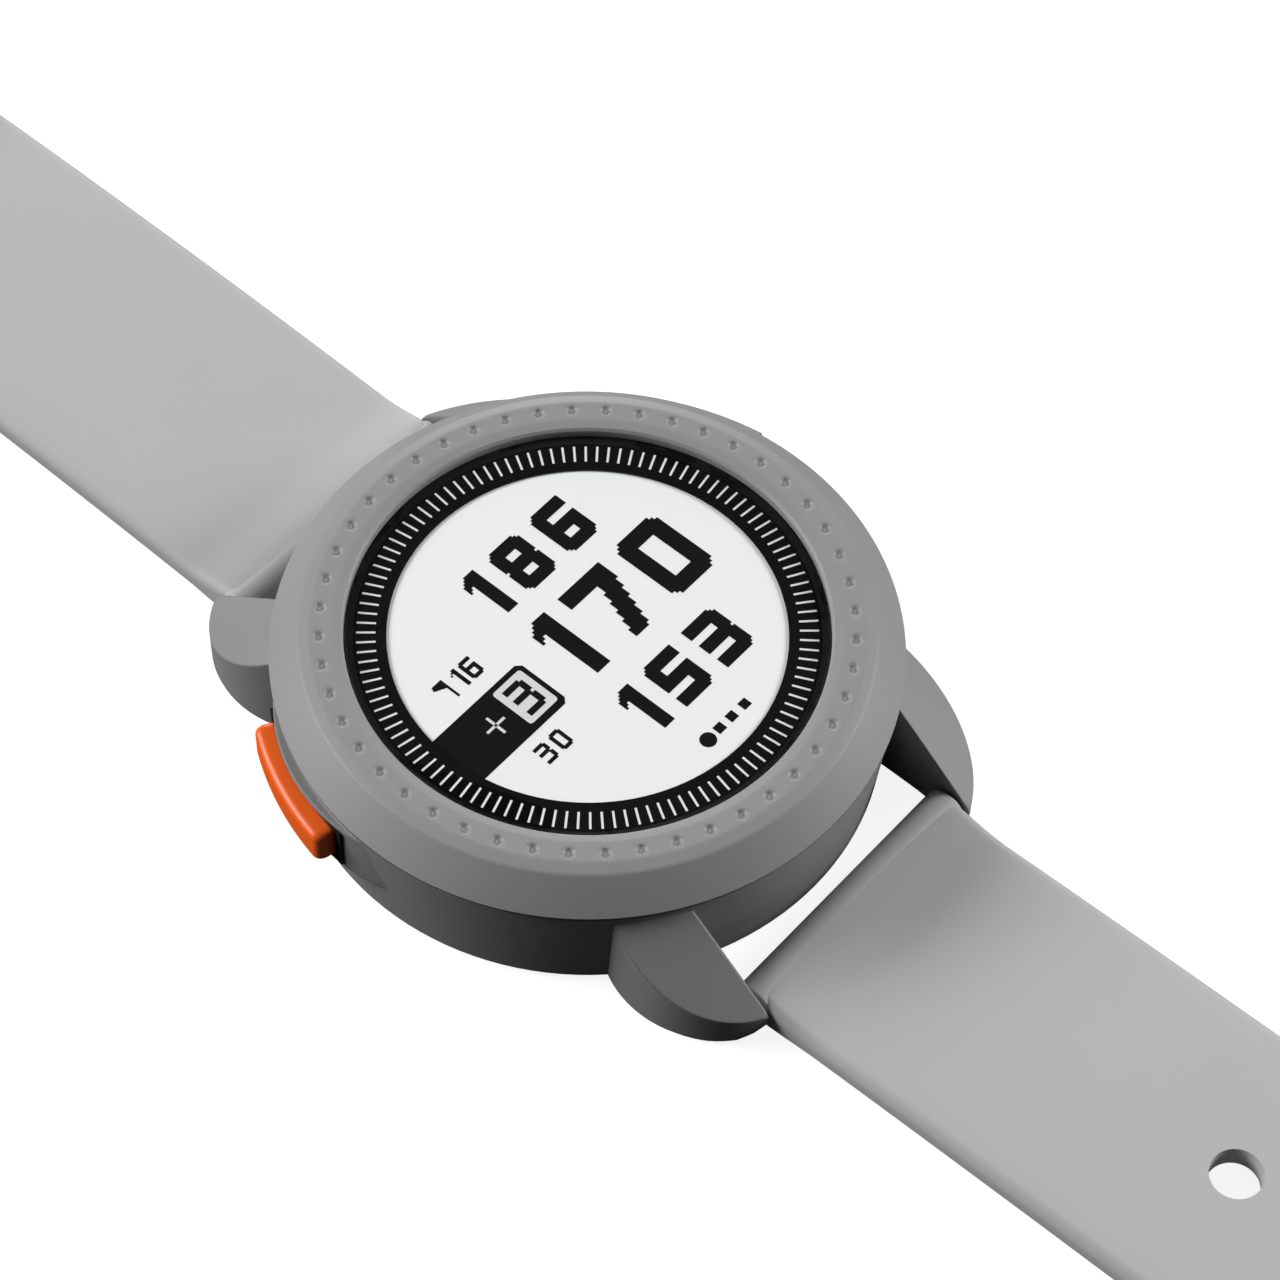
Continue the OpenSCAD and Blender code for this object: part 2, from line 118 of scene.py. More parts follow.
BEZEL = material("bezel_grey", grey(143), rough=0.52, grain=0.012, grain_size=0.11, vary=0.02, spec=0.45)
CASE = material("case_grey", grey(136), rough=0.5, grain=0.012, grain_size=0.11, vary=0.02, spec=0.45,
                edge=0.25 * MM)
STRAP = material("strap_silicone", grey(177), rough=0.58, grain=0.006, grain_size=0.2, vary=0.015, spec=0.35,
                 sheen=0.1)
LOOP = material("loop_silicone", grey(174), rough=0.58, grain=0.006, grain_size=0.2, vary=0.015, spec=0.35,
                edge=0.4 * MM)
DARK = material("dark_plastic", grey(48), rough=0.5, grain=0.01, grain_size=0.1, spec=0.4, edge=0.1 * MM)
# black rubber for the gaskets and seals; also used as painted shade in the groove at the bezel's foot
RUBBER_AND_SHADE = material("black_rubber", grey(14), rough=0.6, grain=0.008, grain_size=0.12, spec=0.3)
PRINT = material("ring_print", grey(13), rough=0.35, vary=0.05, spec=0.3)
STEEL = material("steel", [0.62, 0.62, 0.63], rough=0.25, grain=0.002, grain_size=0.08, metal=1.0,
                 edge=0.1 * MM)
BUCKLE = material("buckle_metal", [0.30, 0.30, 0.31], rough=0.38, grain=0.003, grain_size=0.08, metal=1.0,
                  edge=0.35 * MM)
GOLD = material("gold", [0.85, 0.60, 0.24], rough=0.25, grain=0.001, metal=1.0, edge=0.1 * MM)
BOARD = material("board_green", [0.02, 0.10, 0.045], rough=0.35, grain=0.01, grain_size=0.3)
CERAMIC = material("ceramic", [0.62, 0.57, 0.45], rough=0.6, grain=0.01)
FOIL = material("cell_foil", [0.22, 0.27, 0.37], rough=0.35, grain=0.02, grain_size=0.8)
SCREEN = material("screen_face", grey(249), rough=0.45, vary=0.006, spec=0.2, grain=0.0004, grain_size=0.3)
INK = material("screen_ink", grey(20), rough=0.5, vary=0.05, spec=0.1)
PAPER = material("tick_paint", grey(226), rough=0.5, vary=0.01, spec=0.2)
ORANGE = [1.0, 0.14, 0.012]
KEY = material("key_orange", ORANGE, rough=0.36, grain=0.003, grain_size=0.1, vary=0.02, spec=0.5,
               edge=0.4 * MM)


def glass_material():
    """Thin clear pane: lets light straight through and adds a clear reflection."""
    m = bpy.data.materials.new("clear_pane")
    m.use_nodes = True
    nt = m.node_tree
    nt.nodes.clear()
    out = nt.nodes.new("ShaderNodeOutputMaterial")
    mix = nt.nodes.new("ShaderNodeMixShader")
    clear = nt.nodes.new("ShaderNodeBsdfTransparent")
    gloss = nt.nodes.new("ShaderNodeBsdfGlossy")
    fres = nt.nodes.new("ShaderNodeFresnel")
    noise = nt.nodes.new("ShaderNodeTexNoise")
    rng = nt.nodes.new("ShaderNodeMapRange")
    tc = nt.nodes.new("ShaderNodeTexCoord")
    noise.inputs["Scale"].default_value = 60
    rng.inputs["To Min"].default_value = 0.02
    rng.inputs["To Max"].default_value = 0.05
    fres.inputs["IOR"].default_value = 1.38
    clear.inputs["Color"].default_value = (0.985, 0.99, 0.99, 1)
    nt.links.new(tc.outputs["Object"], noise.inputs["Vector"])
    nt.links.new(noise.outputs["Fac"], rng.inputs["Value"])
    nt.links.new(rng.outputs["Result"], gloss.inputs["Roughness"])
    geo = nt.nodes.new("ShaderNodeNewGeometry")
    front = nt.nodes.new("ShaderNodeMath")
    front.operation = "SUBTRACT"
    front.inputs[0].default_value = 1.0
    only = nt.nodes.new("ShaderNodeMath")
    only.operation = "MULTIPLY"
    nt.links.new(geo.outputs["Backfacing"], front.inputs[1])
    nt.links.new(fres.outputs["Fac"], only.inputs[0])
    nt.links.new(front.outputs["Value"], only.inputs[1])
    nt.links.new(only.outputs["Value"], mix.inputs["Fac"])
    nt.links.new(clear.outputs["BSDF"], mix.inputs[1])
    nt.links.new(gloss.outputs["BSDF"], mix.inputs[2])
    nt.links.new(mix.outputs["Shader"], out.inputs["Surface"])
    return m


GLASS = glass_material()

FINISH = {
    "bezel": BEZEL, "glass": GLASS, "glass_gasket": RUBBER_AND_SHADE, "dial_ring": PRINT, "display_panel": SCREEN,
    "display_carrier": DARK, "case_body": CASE, "case_back": DARK, "back_seal": RUBBER_AND_SHADE, "back_screws": STEEL,
    "main_board": BOARD, "board_screws": STEEL, "shield_can": STEEL, "gps_antenna": CERAMIC, "battery": FOIL,
    "vibration_motor": STEEL, "charge_contacts": GOLD, "left_key": KEY, "right_key": CASE,
    "left_key_gasket": RUBBER_AND_SHADE, "right_key_gasket": RUBBER_AND_SHADE, "stem_seals": RUBBER_AND_SHADE, "left_key_clip": STEEL,
    "right_key_clip": STEEL, "left_switch": DARK, "right_switch": DARK, "spring_bar_12": STEEL,
    "spring_bar_6": STEEL, "strap_buckle_half": STRAP, "strap_hole_half": STRAP, "fixed_keeper": LOOP,
    "sliding_keeper": LOOP, "buckle_frame": BUCKLE, "buckle_bar": STEEL, "buckle_tongue": BUCKLE,
}
for node, mat in FINISH.items():
    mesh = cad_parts[node].data
    mesh.materials.clear()
    mesh.materials.append(mat)


# ---------- mesh helpers ----------
def mesh_object(name, verts, faces, mat, body, smooth=True, angle=None):
    me = bpy.data.meshes.new(name)
    me.from_pydata([tuple(float(c) for c in v) for v in verts], [], faces)
    bm = bmesh.new()
    bm.from_mesh(me)
    bmesh.ops.recalc_face_normals(bm, faces=bm.faces)
    bm.to_mesh(me)
    bm.free()
    me.update()
    for p in me.polygons:
        p.use_smooth = smooth
    if angle:
        me.set_sharp_from_angle(angle=math.radians(angle))
    o = bpy.data.objects.new(name, me)
    bpy.context.scene.collection.objects.link(o)
    me.materials.append(mat)
    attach(o, body)
    return o


def rounded(points, radii, steps=6):
    """Closed 2-D outline with each corner rounded by its own radius."""
    out = []
    n = len(points)
    for i in range(n):
        p, a, b = (np.array(points[k % n], float) for k in (i, i - 1, i + 1))
        r = radii[i]
        if r <= 0:
            out.append(tuple(p))
            continue
        u, v = (a - p) / np.linalg.norm(a - p), (b - p) / np.linalg.norm(b - p)
        half = math.acos(max(-1, min(1, float(u @ v)))) / 2
        t = min(r / math.tan(half), 0.49 * np.linalg.norm(a - p), 0.49 * np.linalg.norm(b - p))
        r = t * math.tan(half)
        c = p + (u + v) / np.linalg.norm(u + v) * r / math.sin(half)
        s, e = p + u * t - c, p + v * t - c
        a0, a1 = math.atan2(s[1], s[0]), math.atan2(e[1], e[0])
        d = (a1 - a0 + math.pi) % (2 * math.pi) - math.pi
        for k in range(steps + 1):
            q = a0 + d * k / steps
            out.append((c[0] + r * math.cos(q), c[1] + r * math.sin(q)))
    return out


def grid_faces(rows, cols, wrap_rows=True, wrap_cols=True):
    f = []
    for i in range(rows if wrap_rows else rows - 1):
        for j in range(cols if wrap_cols else cols - 1):
            a, b = i * cols + j, i * cols + (j + 1) % cols
            c, d = ((i + 1) % rows) * cols + (j + 1) % cols, ((i + 1) % rows) * cols + j
            f.append((a, b, c, d))
    return f


# ---------- bezel with its ring of dimples ----------
WIN_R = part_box("glass")[1].x / MM + 0.05
CR = CASE_R / MM
T = TOP / MM
SEAM = bez_lo.z / MM
CREASE = CR - 2.2
DIM_R = (WIN_R + CREASE) / 2 + 0.1
N_DIM = 48
inner_z = ring_hi.z / MM
DIMPLE_R = 0.42
DIMPLE_DEEP = 0.27
COLUMNS = 24          # mesh columns for each dimple
SHADE_BAND_HEIGHT = 0.2      # height of the painted shade band at the bezel's foot, standing in for the shade in the groove there


def bezel_mesh():
    """The bezel's outline turned round the axis, with each dimple pressed into its top."""
    prof = rounded(
        [(WIN_R, inner_z + 0.06), (WIN_R, T - 0.42), (WIN_R + 0.16, T - 0.2), (DIM_R - 0.9, T - 0.02),
         (DIM_R + 0.7, T), (CREASE + 0.05, T - 0.33), (CR, SEAM + 0.3), (CR, SEAM + 0.22),
         (CR - 0.02, SEAM + 0.08), (CR - 0.2, SEAM + 0.01), (WIN_R + 2.4, SEAM + 0.01),
         (WIN_R + 2.4, inner_z + 0.06)],
        [0, 0.05, 0.12, 0.8, 0.8, 0.7, 0.05, 0, 0.05, 0, 0, 0])
    flat = []
    for i, p in enumerate(prof):
        q = prof[(i + 1) % len(prof)]
        flat.append(p)
        in_ring = min(p[0], q[0]) > DIM_R - 1.2 and max(p[0], q[0]) < DIM_R + 1.3
        if in_ring and min(p[1], q[1]) > T - 0.28:
            k = max(1, int(math.dist(p, q) / 0.05))
            flat += [(p[0] + (q[0] - p[0]) * s / k, p[1] + (q[1] - p[1]) * s / k) for s in range(1, k)]
    prof = np.array(flat)
    cols = N_DIM * COLUMNS
    # columns gather near each dimple so its wall is finely drawn
    step = 2 * math.pi / N_DIM
    u = (np.arange(cols) % COLUMNS) / COLUMNS - 0.5
    warp = np.sign(u) * (np.abs(2 * u) ** 1.9) / 2
    ang = (np.floor(np.arange(cols) / COLUMNS) + warp) * step
    r = prof[:, 0][:, None] * np.ones(cols)
    z = prof[:, 1][:, None] * np.ones(cols)
    near = np.round(ang / step) * step
    dx = r * np.cos(ang - near) - DIM_R
    dy = r * np.sin(ang - near)
    d = np.sqrt(dx ** 2 + dy ** 2)
    on_top = (prof[:, 1] > T - 0.3)[:, None]
    floor = 0.12 * np.exp(-(d / 0.13) ** 2)
    hollow = -DIMPLE_DEEP * np.sqrt(np.clip(1 - (d / DIMPLE_R) ** 2, 0, 1))
    bowl = np.where(d < DIMPLE_R, hollow + floor, 0.0)
    rim = -0.03 * np.exp(-((d - DIMPLE_R) / 0.12) ** 2)
    z = z + np.where(on_top, bowl + rim * (d >= DIMPLE_R), 0)
    x, y = r * np.cos(ang), r * np.sin(ang)
    verts = np.stack([x, y, z], -1).reshape(-1, 3) * MM
    return verts, grid_faces(len(prof), cols)


v, f = bezel_mesh()
bezel = mesh_object("bezel_ring", v, f, BEZEL, "case", angle=50)
# painted shade: a dark band on the bezel's foot where it meets the case, standing in for the shade in the
# groove under the bezel's rim
bezel.data.materials.append(RUBBER_AND_SHADE)
for poly in bezel.data.polygons:
    outside = math.hypot(poly.center.x, poly.center.y) > (CR - 0.3) * MM
    if outside and poly.center.z < (SEAM + SHADE_BAND_HEIGHT) * MM:
        poly.material_index = 1
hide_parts("bezel")


# ---------- orange key with soft ends ----------
key_lo, key_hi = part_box("left_key")
KEY_ANGLE = math.radians(158)
KEY_HALF = math.radians(13)
KEY_OUT = CR - 0.25 + 1.9
KEY_IN = CR - 0.25 + 0.32


def key_mesh():
    """A curved bar along the case, whose section shrinks towards both ends."""
    z0, z1 = key_lo.z / MM, key_hi.z / MM
    soft = 0.75 / KEY_OUT
    n = 60
    stations = [KEY_HALF * math.sin((-1 + 2 * k / n) * math.pi / 2) for k in range(n + 1)]
    verts = []
    for a in stations:
        over = max(0.0, abs(a) - (KEY_HALF - soft)) / soft
        shrink = 0.7 * (1 - math.sqrt(max(0.0, 1 - over * over)))
        low, high, outer = z0 + 0.02 + shrink * 0.6, z1 - 0.02 - shrink * 0.6, KEY_OUT - shrink
        sec = rounded([(KEY_IN, low), (outer, low), (outer, high), (KEY_IN, high)], [0, 0.55, 0.5, 0], 8)
        m = len(sec)
        for rr, z in sec:
            q = KEY_ANGLE + a
            verts.append((rr * math.cos(q) * MM, rr * math.sin(q) * MM, z * MM))
    faces = grid_faces(len(stations), m, wrap_rows=False)
    faces += [tuple(range(m)), tuple(range((len(stations) - 1) * m, len(stations) * m))]
    return verts, faces


def dotted(m):
    """Adds a grid of fine raised dots to a material."""
    nt = m.node_tree
    tc = nt.nodes.new("ShaderNodeTexCoord")
    vor = nt.nodes.new("ShaderNodeTexVoronoi")
    vor.inputs["Scale"].default_value = 2600
    vor.inputs["Randomness"].default_value = 0.0
    rng = nt.nodes.new("ShaderNodeMapRange")
    rng.inputs["From Min"].default_value = 0.15
    rng.inputs["From Max"].default_value = 0.5
    rng.inputs["To Min"].default_value = 1.0
    rng.inputs["To Max"].default_value = 0.0
    bump = nt.nodes.new("ShaderNodeBump")
    bump.inputs["Distance"].default_value = 0.05 * MM
    bump.inputs["Strength"].default_value = 0.7
    nt.links.new(tc.outputs["Object"], vor.inputs["Vector"])
    nt.links.new(vor.outputs["Distance"], rng.inputs["Value"])
    nt.links.new(rng.outputs["Result"], bump.inputs["Height"])
    p = nt.nodes["Principled BSDF"]
    old = p.inputs["Normal"].links[0].from_socket
    nt.links.new(old, bump.inputs["Normal"])
    nt.links.new(bump.outputs["Normal"], p.inputs["Normal"])


KEY_FACE = material("key_face_orange", ORANGE, rough=0.4, grain=0.003, grain_size=0.1, vary=0.02)
dotted(KEY_FACE)
v, f = key_mesh()
key = mesh_object("orange_key_cap", v, f, KEY, "key_left", angle=60)
key.data.materials.append(KEY_FACE)
for poly in key.data.polygons:
    upright = math.hypot(poly.normal.x, poly.normal.y) > 0.97
    outward = poly.normal.x * math.cos(KEY_ANGLE) + poly.normal.y * math.sin(KEY_ANGLE) > 0.8
    if upright and outward:
        poly.material_index = 1
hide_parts("left_key")


# ---------- strap halves ----------
sb_lo, sb_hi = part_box("strap_buckle_half")
sh_lo, sh_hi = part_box("strap_hole_half")
bar12_lo, bar12_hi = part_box("spring_bar_12")
buck_lo, buck_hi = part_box("buckle_bar")
BAR_Y = (bar12_lo.y + bar12_hi.y) / 2 / MM
BAR_Z = (bar12_lo.z + bar12_hi.z) / 2 / MM
BUCK_Y = (buck_lo.y + buck_hi.y) / 2 / MM
BUCK_Z = (buck_lo.z + buck_hi.z) / 2 / MM
HALF_W = sb_hi.x / MM
THICK = 2.1
BARREL = 1.65
DROP = 0.4
LONG = -sh_lo.y / MM - BAR_Y
SHORT = BUCK_Y - BAR_Y
BORE_R = 0.95
HOLE_R = 1.9
HOLES = 10
HOLE_PITCH = 6.5
FIRST_HOLE = 33.5     # from the spring bar


def mid(s, length, end, rise):
    """Height of the band's middle at a distance s from the spring bar."""
    q = s / length
    return BAR_Z - DROP + (end - BAR_Z + DROP) * q + rise * 4 * q * (1 - q)


def section(w, t, n_top=14):
    """Cross-section of the band, half-width w and thickness t, soft top edges and a slight crown."""
    pts = rounded([(-w, -t / 2), (w, -t / 2), (w, t / 2), (-w, t / 2)], [0.45, 0.45, 0.85, 0.85], 7)
    out = []
    for i, p in enumerate(pts):
        q = pts[(i + 1) % len(pts)]
        out.append(p)
        if i in (7, 23):
            out += [(p[0] + (q[0] - p[0]) * k / n_top, p[1] + (q[1] - p[1]) * k / n_top)
                    for k in range(1, n_top)]
    return [(x, z - (0.10 * (x / w) ** 4 if z > 0 else 0)) for x, z in out]


def band(name, length, end, rise, s0, s1, side, tip_r=0.0, body=""):
    """One strap half, from its spring bar at s0 to s1; tip_r rounds the free end."""
    steps = [s0 + (s1 - s0) * i / 90 for i in range(91)]
    if tip_r:
        a = [s1 - tip_r + tip_r * math.sin(math.pi / 2 * k / 22) for k in range(1, 23)]
        steps = [s for s in steps if s < s1 - tip_r] + [s1 - tip_r] + a
    verts, n = [], 0
    for s in steps:
        w = HALF_W - 0.02
        t = THICK - 0.04
        if tip_r and s > s1 - tip_r:
            d = (s - (s1 - tip_r)) / tip_r
            w = max(0.4, (HALF_W - 0.02) * math.sqrt(max(0.0, 1 - d * d)))
            t = THICK * (1 - 0.25 * max(0, d - 0.9) / 0.1)
        e = 0.01
        slope = (mid(s + e, length, end, rise) - mid(s - e, length, end, rise)) / (2 * e)
        centre = mid(s, length, end, rise)
        k = min(1.0, s / 5.5)
        k = 1 - k * k * (3 - 2 * k)
        over = (BAR_Z + BARREL - 0.02 - centre - t / 2) * k
        under = (centre - t / 2 - BAR_Z + BARREL - 0.02) * k
        t, centre = t + over + under, centre + (over - under) / 2
        nz, ny = 1 / math.hypot(1, slope), -slope / math.hypot(1, slope)
        sec = section(w, t)
        n = len(sec)
        for x, h in sec:
            y = BAR_Y + s + ny * h
            z = centre + nz * h
            verts.append((x * MM, side * y * MM, z * MM))
    faces = grid_faces(len(steps), n, wrap_rows=False)
    faces.append(tuple(range(n)))
    faces.append(tuple(range((len(steps) - 1) * n, len(steps) * n)))
    return mesh_object(name, verts, faces, STRAP, body, angle=40)


def tube(name, y, z, r_out, r_in, x0, x1, body, seg=64):
    """Short tube along X with soft ends, for the strap's barrels."""
    prof = rounded([(x0, r_in), (x1, r_in), (x1, r_out), (x0, r_out)], [0, 0, 0.35, 0.35], 5)
    verts = []
    for k in range(seg):
        a = 2 * math.pi * k / seg
        for x, r in prof:
            verts.append((x * MM, (y + r * math.cos(a)) * MM, max(0.03, z + r * math.sin(a)) * MM))
    return mesh_object(name, verts, grid_faces(seg, len(prof)), STRAP, body, angle=40)


def cut(target, cutters):
    """Cuts the solids away from the target, then removes them."""
    for c in cutters:
        mod = target.modifiers.new("cut", "BOOLEAN")
        mod.operation = "DIFFERENCE"
        mod.solver = "EXACT"
        mod.object = c
    dg = bpy.context.evaluated_depsgraph_get()
    new = bpy.data.meshes.new_from_object(target.evaluated_get(dg))
    target.modifiers.clear()
    old = target.data
    target.data = new
    bpy.data.meshes.remove(old)
    for c in cutters:
        bpy.data.objects.remove(c)
    for p in target.data.polygons:
        p.use_smooth = True
    target.data.set_sharp_from_angle(angle=math.radians(40))


def plain(name, verts, faces):
    me = bpy.data.meshes.new(name)
    me.from_pydata([tuple(float(c) for c in v) for v in verts], [], faces)
    bm = bmesh.new()
    bm.from_mesh(me)
    bmesh.ops.recalc_face_normals(bm, faces=bm.faces)
    bm.to_mesh(me)
    bm.free()
    o = bpy.data.objects.new(name, me)
    bpy.context.scene.collection.objects.link(o)
    return o


def rod(x, y, r, z0, z1, seg=40):
    """Upright cylinder, used to cut a hole."""
    ring = [2 * math.pi * k / seg for k in range(seg)]
    verts = [((x + r * math.cos(q)) * MM, (y + r * math.sin(q)) * MM, z * MM)
             for z in (z0, z1) for q in ring]
    faces = [(k, (k + 1) % seg, seg + (k + 1) % seg, seg + k) for k in range(seg)]
    faces += [tuple(range(seg)), tuple(range(seg, 2 * seg))]
    return plain("cutter", verts, faces)


def cross_rod(y, z, r, seg=48):
    """Cylinder along X, used to cut the bore for a bar."""
    ring = [2 * math.pi * k / seg for k in range(seg)]
    verts = [(x * MM, (y + r * math.cos(q)) * MM, (z + r * math.sin(q)) * MM)
             for x in (-15, 15) for q in ring]
    faces = [(k, (k + 1) % seg, seg + (k + 1) % seg, seg + k) for k in range(seg)]
    faces += [tuple(range(seg)), tuple(range(seg, 2 * seg))]
    return plain("cutter", verts, faces)


def box_cutter(x0, x1, y0, y1, z0, z1):
    v = [(x * MM, y * MM, z * MM) for x in (x0, x1) for y in (y0, y1) for z in (z0, z1)]
    f = [(0, 1, 3, 2), (4, 5, 7, 6), (0, 1, 5, 4), (2, 3, 7, 6), (0, 2, 6, 4), (1, 3, 7, 5)]
    return plain("cutter", v, f)


TIP_Z = THICK / 2 + 0.02
lower = band("strap_lower_band", LONG, TIP_Z, 1.65, 0.0, LONG - 0.05, -1, tip_r=HALF_W, body="strap_lower")
holes = [rod(0, -(BAR_Y + FIRST_HOLE + HOLE_PITCH * i), HOLE_R, -3, 12) for i in range(HOLES)]
cut(lower, holes + [cross_rod(-BAR_Y, BAR_Z, BORE_R)])
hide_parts("strap_hole_half")
upper = band("strap_upper_band", SHORT, BUCK_Z, 1.2, 0.0, SHORT - 1.0, 1, body="strap_upper")
cut(upper, [box_cutter(-1.7, 1.7, BUCK_Y - 4, BUCK_Y + 5, -3, 12), cross_rod(BAR_Y, BAR_Z, BORE_R)])
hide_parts("strap_buckle_half")
EDGE_X = HALF_W - 0.02
pieces = [
    tube("strap_lower_barrel", -BAR_Y, BAR_Z, BARREL - 0.02, BORE_R, -EDGE_X, EDGE_X, "strap_lower"),
    tube("strap_upper_barrel", BAR_Y, BAR_Z, BARREL - 0.02, BORE_R, -EDGE_X, EDGE_X, "strap_upper"),
    tube("buckle_barrel_left", BUCK_Y, BUCK_Z, 1.48, 0.8, -EDGE_X, -1.72, "strap_upper"),
    tube("buckle_barrel_right", BUCK_Y, BUCK_Z, 1.48, 0.8, 1.72, EDGE_X, "strap_upper"),
]


# ---------- what the display shows ----------
def cells(d, w, h, t):
    """Cells of a bold pixel figure on a w by h grid, strokes t wide, outer corners stepped."""
    g = np.zeros((h, w), bool)           # row 0 at the top
    m = (h - t) // 2
    seg = {"a": (0, t, 0, w), "g": (m, m + t, 0, w), "d": (h - t, h, 0, w),
           "f": (0, m + t, 0, t), "b": (0, m + t, w - t, w), "e": (m, h, 0, t), "c": (m, h, w - t, w)}
    use = {0: "abcdef", 2: "abged", 3: "abgcd", 4: "fgbc", 5: "afgcd", 6: "afgecd", 8: "abcdefg", 9: "abfgcd"}
    if d == 1:
        c = w - t
        g[:, c:] = True
        for i in range(c):
            top = 1 + i
            g[top:top + t - 1, c - 1 - i] = True
        return g
    if d == 7:
        g[:t, :] = True
        for row in range(t, h):
            right = w - (row - t) * (w - 2 * t) / (h - t)
            a = max(0, int(round(right - t * 1.15)))
            g[row, a:int(round(right))] = True
        return g
    for k in use[d]:
        r0, r1, c0, c1 = seg[k]
        g[r0:r1, c0:c1] = True
    step = max(1, t // 2)
    corners = {"tl": "af", "tr": "ab", "bl": "de", "br": "dc"}
    for c, pair in corners.items():
        if all(k in use[d] for k in pair):
            for i in range(step):
                n = step - i
                rows = slice(i, i + 1) if c[0] == "t" else slice(h - 1 - i, h - i)
                cols = slice(0, n) if c[1] == "l" else slice(w - n, w)
                g[rows, cols] = False
    if d in (8, 9, 3, 6):
        for side in ((0,) if d == 8 else ()) + ((w - 1,) if d in (8, 3) else ()):
            g[m + t // 2, side] = False
    return g


def rect(x0, y0, x1, y1):
    return [(x0, y0), (x1, y0), (x1, y1), (x0, y1)]


def figure(text, x0, y0, height, cell_rows, glyph_w, t, gap):
    """Strips of ink for a row of figures; x0, y0 is the lower left corner."""
    size = height / cell_rows
    out, x = [], x0
    for ch in text:
        w = glyph_w if ch != "1" else t + max(2, (2 * t) // 3)
        g = cells(int(ch), w, cell_rows, t)
        for r in range(g.shape[0]):
            c = 0
            while c < g.shape[1]:
                if g[r, c]:
                    e = c
                    while e < g.shape[1] and g[r, e]:
                        e += 1
                    low, high = y0 + height - (r + 1) * size, y0 + height - r * size
                    out.append(rect(x + c * size, low, x + e * size, high))
                    c = e
                else:
                    c += 1
        x += w * size + gap
    return out


def sheet_of(name, outlines, z, mat):
    """Flat pattern of outlines lying on the display."""
    verts, faces = [], []
    for pts in outlines:
        n = len(verts)
        verts += [(x * MM, y * MM, z) for x, y in pts]
        faces.append(tuple(range(n, n + len(pts))))
    me = bpy.data.meshes.new(name)
    me.from_pydata(verts, [], faces)
    me.materials.append(mat)
    o = bpy.data.objects.new(name, me)
    bpy.context.scene.collection.objects.link(o)
    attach(o, "case")
    return o


def disc(x, y, r, n=40):
    return [(x + r * math.cos(2 * math.pi * k / n), y + r * math.sin(2 * math.pi * k / n)) for k in range(n)]


def soft_box(x0, y0, x1, y1, r):
    return rounded(rect(x0, y0, x1, y1), [r] * 4, 5)


INK_Z = panel_hi.z + 0.012 * MM
TICKS = 120
TICK_IN, TICK_OUT, TICK_HALF = 15.12, 16.5, 0.085
ink = []
for text, x, y, h, rows, gw, t, gap in (
        ("186", -3.1, 5.4, 4.45, 21, 15, 5, 1.3),
        ("170", -2.95, -2.8, 6.35, 23, 16, 5, 1.45),
        ("153", -3.1, -9.4, 4.45, 21, 15, 5, 1.3),
        ("16", -9.3, 3.3, 1.8, 11, 7, 2, 0.3),
        ("30", -10.1, -5.4, 1.7, 11, 7, 2, 0.45)):
    ink += figure(text, x, y, h, rows, gw, t, gap)
# flag
ink += [rect(-10.15, 3.2, -9.95, 5.1), [(-11.05, 4.75), (-10.15, 4.3), (-10.15, 5.1), (-10.9, 5.1)]]
# page marks
ink += [disc(-1.2, -12.3, 0.63), rect(-0.28, -12.63, 0.48, -11.88), rect(1.03, -12.63, 1.78, -11.88),
        rect(2.43, -12.63, 3.18, -11.88)]
# tab from the display's edge
tab = [(-14.6, -2.8), (-5.6, -2.8), (-5.2, -2.4), (-5.2, 1.6), (-5.6, 2.0), (-14.6, 2.0)]
ink.append(tab)
sheet_of("display_ink", ink, INK_Z, INK)
marks = []
for k in range(TICKS):
    q = math.radians(360 / TICKS * k)
    c, n = math.cos(q), math.sin(q)
    bar = rect(TICK_IN, -TICK_HALF, TICK_OUT, TICK_HALF)
    marks.append([(ra * c - w * n, ra * n + w * c) for ra, w in bar])
sheet_of("ring_ticks", marks, ring_hi.z + 0.008 * MM, PAPER)
white = [soft_box(-8.5, -2.2, -5.6, 1.55, 0.25), rect(-11.1, -0.5, -9.3, -0.28),
         rect(-10.31, -1.29, -10.09, 0.51)]
sheet_of("display_marks", white, INK_Z + 0.006 * MM, PAPER)
boxed = figure("3", -7.95, -1.75, 2.85, 11, 7, 2, 0.2)
sheet_of("display_box_ink", boxed, INK_Z + 0.012 * MM, INK)


# ---------- floor, backdrop, light and camera ----------
def stage_floor():
    me = bpy.data.meshes.new("floor")
    s = 3.0
    me.from_pydata([(-s, -s, 0), (s, -s, 0), (s, s, 0), (-s, s, 0)], [], [(0, 1, 2, 3)])
    o = bpy.data.objects.new("floor", me)
    bpy.context.scene.collection.objects.link(o)
    o.location.z = -0.00005
    m = bpy.data.materials.new("floor_white")
    m.use_nodes = True
    nt = m.node_tree
    nt.nodes.clear()
    out = nt.nodes.new("ShaderNodeOutputMaterial")
    lp = nt.nodes.new("ShaderNodeLightPath")
    mix = nt.nodes.new("ShaderNodeMixShader")
    dark = nt.nodes.new("ShaderNodeBsdfDiffuse")
    dark.inputs["Color"].default_value = (0.04, 0.04, 0.04, 1)
    add = nt.nodes.new("ShaderNodeAddShader")
    lit = nt.nodes.new("ShaderNodeBsdfDiffuse")
    lit.inputs["Color"].default_value = (0.3, 0.3, 0.3, 1)
    glow = nt.nodes.new("ShaderNodeEmission")
    glow.inputs["Strength"].default_value = 0.88
    nt.links.new(lit.outputs["BSDF"], add.inputs[0])
    nt.links.new(glow.outputs["Emission"], add.inputs[1])
    nt.links.new(lp.outputs["Is Camera Ray"], mix.inputs["Fac"])
    nt.links.new(dark.outputs["BSDF"], mix.inputs[1])
    nt.links.new(add.outputs["Shader"], mix.inputs[2])
    nt.links.new(mix.outputs["Shader"], out.inputs["Surface"])
    me.materials.append(m)


stage_floor()

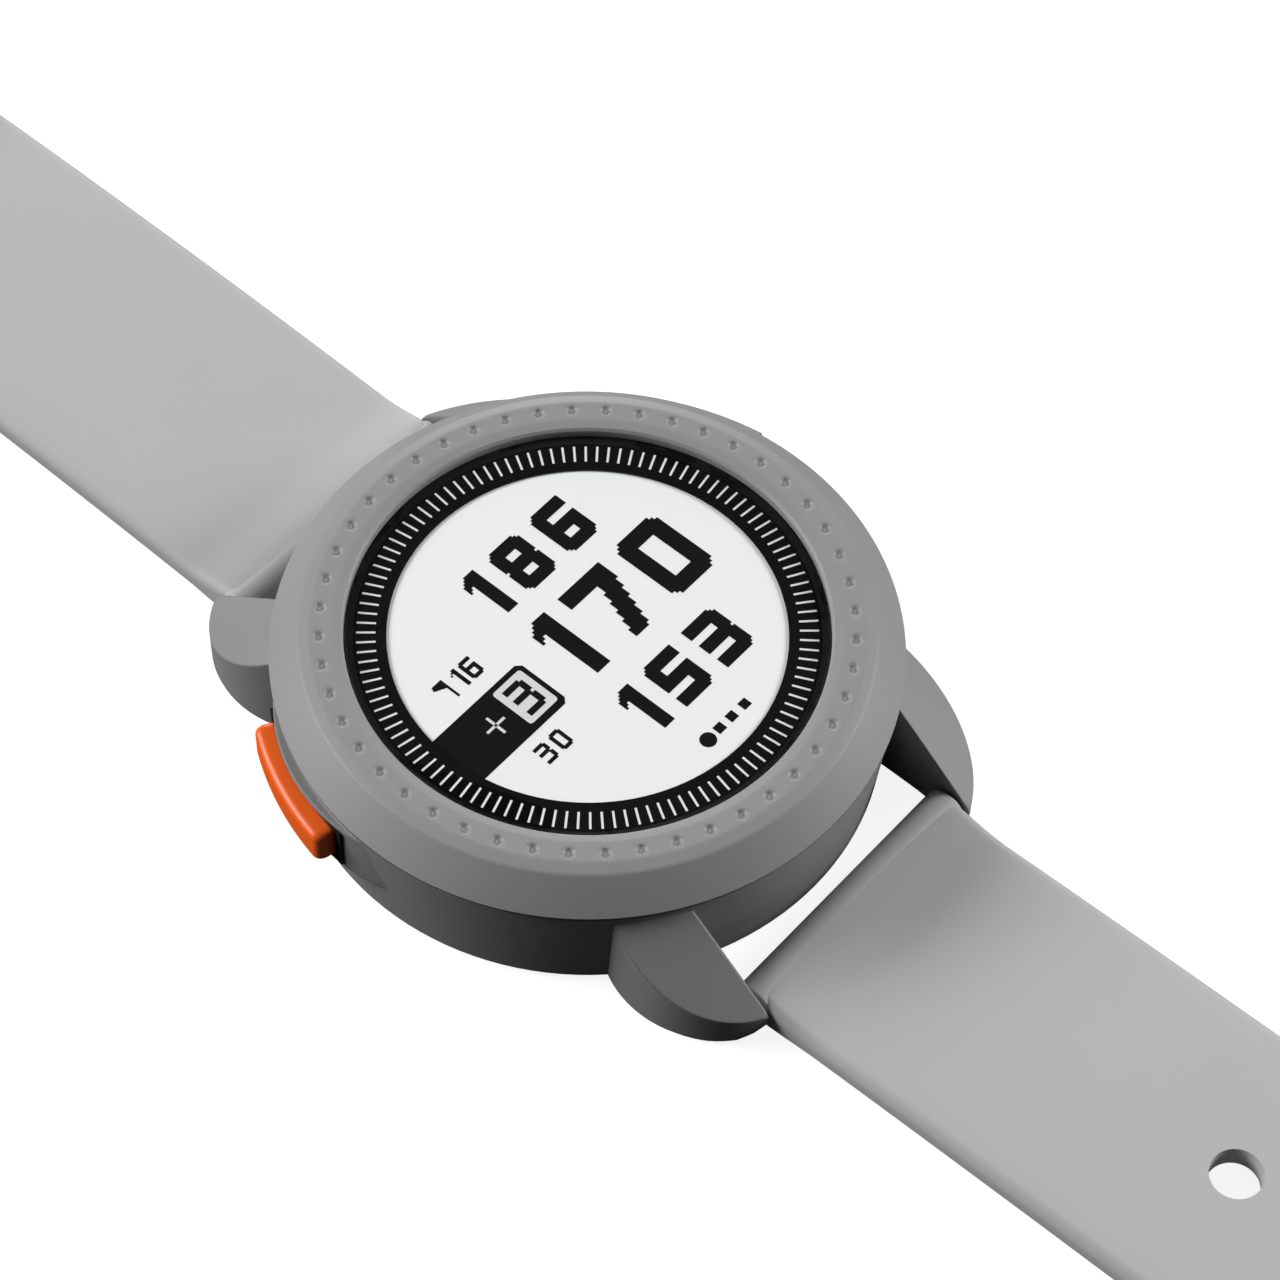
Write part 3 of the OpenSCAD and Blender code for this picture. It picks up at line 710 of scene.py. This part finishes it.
scene = bpy.context.scene
world = bpy.data.worlds.new("studio")
scene.world = world
world.use_nodes = True
wn = world.node_tree
wn.nodes.clear()
wout = wn.nodes.new("ShaderNodeOutputWorld")
wmix = wn.nodes.new("ShaderNodeMixShader")
wlp = wn.nodes.new("ShaderNodeLightPath")
fill = wn.nodes.new("ShaderNodeBackground")
fill.inputs["Color"].default_value = (0.05, 0.05, 0.05, 1)
white_bg = wn.nodes.new("ShaderNodeBackground")
white_bg.inputs["Color"].default_value = (1, 1, 1, 1)
wn.links.new(wlp.outputs["Is Camera Ray"], wmix.inputs["Fac"])
wn.links.new(fill.outputs["Background"], wmix.inputs[1])
wn.links.new(white_bg.outputs["Background"], wmix.inputs[2])
wn.links.new(wmix.outputs["Shader"], wout.inputs["Surface"])
scene.view_settings.view_transform = "Standard"

RIGHT = Vector((0.65595, -0.75459, 0.01821))
UP = Vector((0.61701, 0.54994, 0.56291))
FWD = Vector((0.43478, 0.35801, -0.82632))
EYE = Vector((-120.90, -104.38, 232.33))     # in millimetres, from the middle of the bezel's top


def softbox(name, at, aim, size, power, size_y=None):
    l = bpy.data.lights.new(name, "AREA")
    l.shape = "RECTANGLE"
    l.size = size
    l.size_y = size_y or size
    l.energy = power
    l.spread = math.radians(180)
    o = bpy.data.objects.new(name, l)
    bpy.context.scene.collection.objects.link(o)
    o.location = at
    o.rotation_euler = (Vector(aim) - Vector(at)).to_track_quat("-Z", "Y").to_euler()
    return o


aim = Vector((0, 0, TOP))
softbox("left_key", (-0.50, 0.72, 0.52), aim, 0.5, 11.6)
softbox("right_key", (0.72, -0.52, 0.46), aim, 0.45, 9.6)
softbox("back_rim", (0.62, 0.62, 0.12), aim, 0.5, 2.6, size_y=0.2)

cam = bpy.data.cameras.new("camera")
cam.sensor_width = 36
cam.lens = 111.63
cam.clip_start = 0.01
cam_o = bpy.data.objects.new("camera", cam)
scene.collection.objects.link(cam_o)
m = Matrix((RIGHT, UP, -FWD)).transposed().to_4x4()
m.translation = EYE * MM + Vector((0, 0, TOP))
cam_o.matrix_world = m
scene.camera = cam_o
